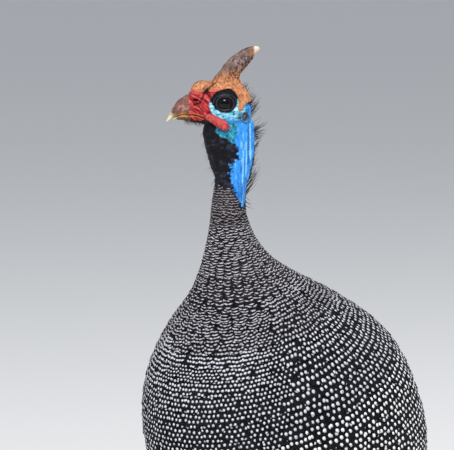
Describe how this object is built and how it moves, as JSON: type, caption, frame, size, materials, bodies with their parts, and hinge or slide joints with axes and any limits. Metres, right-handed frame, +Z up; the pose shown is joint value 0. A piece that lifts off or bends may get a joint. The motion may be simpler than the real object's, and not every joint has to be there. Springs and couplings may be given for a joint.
{
  "type": "helmeted guinea fowl model",
  "caption": "Life-size still model of a helmeted guinea fowl standing alert, head turned to its right, with bony casque, blue bare neck, red wattles and white-spotted plumage.",
  "frame": {"origin": "on the floor under the middle of the whole bird's box", "axes": "+Z up, -Y the way the body faces, +X the bird's left"},
  "size_m": [0.1982, 0.3531, 0.5426],
  "materials": {
    "feathers": "slate barbs with white spots ringed in black",
    "blue_skin": "matt bare skin, black in front",
    "face_skin": "wrinkled pale blue bare skin",
    "red_skin": "fleshy, finely wrinkled",
    "casque_horn": "rough matt horn, pale at the tip",
    "bill_horn": "satin horn, paler at the tip",
    "eye_glass": "wet gloss, dark brown iris",
    "leg_scales": "dark grey scutes, satin",
    "claw_horn": "dark satin horn"
  },
  "bodies": {
    "root": {"head": "face_skin", "neck_bare": "blue_skin", "casque": "casque_horn", "bill_upper": "bill_horn", "bill_lower": "bill_horn", "neck_feathered": "feathers", "torso": "feathers", "tail": "feathers", "eye_left": "eye_glass", "wattle_left": "red_skin", "wing_left": "feathers", "thigh_left": "feathers", "shank_left": "leg_scales", "foot_left": "leg_scales", "claw_inner_left": "claw_horn", "claw_middle_left": "claw_horn", "claw_outer_left": "claw_horn", "claw_back_left": "claw_horn", "eye_right": "eye_glass", "wattle_right": "red_skin", "wing_right": "feathers", "thigh_right": "feathers", "shank_right": "leg_scales", "foot_right": "leg_scales", "claw_inner_right": "claw_horn", "claw_middle_right": "claw_horn", "claw_outer_right": "claw_horn", "claw_back_right": "claw_horn"}
  },
  "joints": []
}
